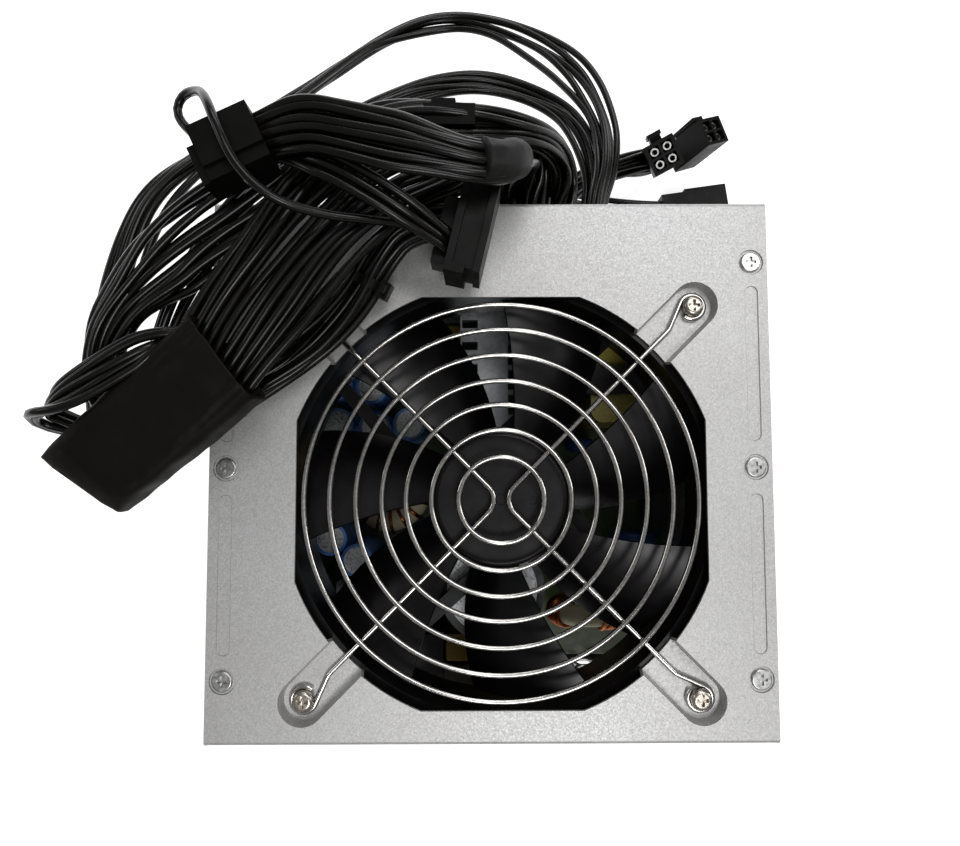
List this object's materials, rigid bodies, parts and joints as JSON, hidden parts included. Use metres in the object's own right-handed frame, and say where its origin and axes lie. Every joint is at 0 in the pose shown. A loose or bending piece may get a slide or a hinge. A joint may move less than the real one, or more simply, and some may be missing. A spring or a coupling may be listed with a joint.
{
  "type": "power supply unit",
  "caption": "Computer power supply in a folded sheet-metal case with a guarded fan on its face, mains inlet and rocker switch on one wall, and a folded, wrapped cable harness leaving the other.",
  "frame": {"origin": "centre of the case's underside", "axes": "+Z towards the fan face, +Y out of the cable wall, +X along the case's width"},
  "size_m": [0.2095, 0.2366, 0.1205],
  "materials": {
    "galvanised_steel": "galvanised sheet, fine mottled grain",
    "guard_wire": "bright plated wire",
    "screw_nickel": "nickel plated, slightly warm",
    "fan_black": "moulded black",
    "cable_black": "black cable insulation, soft sheen",
    "plug_black": "moulded black nylon",
    "wrap_black": "matte woven wrap",
    "boot_grey": "dark grey shrunk tube",
    "tin": "tinned",
    "brass_part": "sintered bronze",
    "ferrite_magnet": "plastic-bonded ferrite",
    "stator_steel": "laminated",
    "board_fr4": "paper phenolic board",
    "clear_sheet": "black insulating film",
    "heatsink_aluminium": "plain extruded",
    "epoxy_black": "moulded epoxy",
    "can_aluminium": "drawn can",
    "sleeve_blue": "shrunk sleeve",
    "sleeve_black": "shrunk sleeve",
    "tape_yellow": "polyester tape",
    "ferrite_core": "sintered ferrite",
    "core_cream": "coated powder core with glue",
    "copper": "enamelled copper",
    "film_box": "moulded box",
    "disc_blue": "dipped coating",
    "fuse_ceramic": "ceramic with tinned clips",
    "inlet_black": "moulded black"
  },
  "bodies": {
    "case": {"case_base": "galvanised_steel", "case_cover": "galvanised_steel", "cover_screws": "tin", "fan_screws": "screw_nickel", "guard_rings": "guard_wire", "guard_legs": "guard_wire", "fan_frame": "fan_black", "fan_bearing": "brass_part", "fan_stator": "stator_steel", "fan_lead": "cable_black", "insulating_sheet": "clear_sheet", "board_standoffs": "tin", "circuit_board": "board_fr4", "board_screws": "tin", "secondary_heatsink": "heatsink_aluminium", "primary_heatsink": "heatsink_aluminium", "power_transistors": "epoxy_black", "bridge_rectifier": "epoxy_black", "bulk_capacitor": "can_aluminium", "bulk_capacitor_sleeve": "sleeve_black", "output_capacitors": "can_aluminium", "output_capacitor_sleeves": "sleeve_blue", "transformer_windings": "tape_yellow", "transformer_cores": "ferrite_core", "choke_cores": "core_cream", "choke_windings": "copper", "film_capacitors": "film_box", "disc_capacitors": "disc_blue", "fuse": "fuse_ceramic", "ac_inlet": "inlet_black", "inlet_pins": "tin", "switch_housing": "inlet_black", "mains_wires": "cable_black", "cable_grommet": "plug_black", "inner_harness": "cable_black", "main_cable": "cable_black", "front_cable": "cable_black", "loop_cable": "cable_black", "long_drive_cable": "cable_black", "short_drive_cable": "cable_black", "cpu_cable": "cable_black", "cpu_branch": "cable_black", "spare_cable": "cable_black", "plug_tail": "cable_black", "sense_wire": "cable_black", "fold_wires": "cable_black", "cpu_plug_a": "plug_black", "cpu_plug_b": "plug_black", "plug_terminals": "tin", "large_plug": "plug_black", "drive_plug": "plug_black", "spare_plug": "plug_black", "chain_plug": "plug_black", "heat_shrink": "boot_grey", "cable_tie": "plug_black", "cable_wrap": "wrap_black"},
    "rotor": {"fan_rotor": "fan_black", "rotor_magnet": "ferrite_magnet", "fan_shaft": "tin"},
    "rocker": {"switch_rocker": "inlet_black"}
  },
  "joints": [
    {"name": "fan_spin", "type": "hinge", "parent": "case", "child": "rotor", "pos_m": [0.0027, -0.0086, 0.07], "axis": [0, 0, 1], "continuous": true},
    {"name": "switch_rock", "type": "hinge", "parent": "case", "child": "rocker", "pos_m": [-0.022, -0.0708, 0.024], "axis": [-1, 0, 0], "range_deg": [0, 20]}
  ]
}
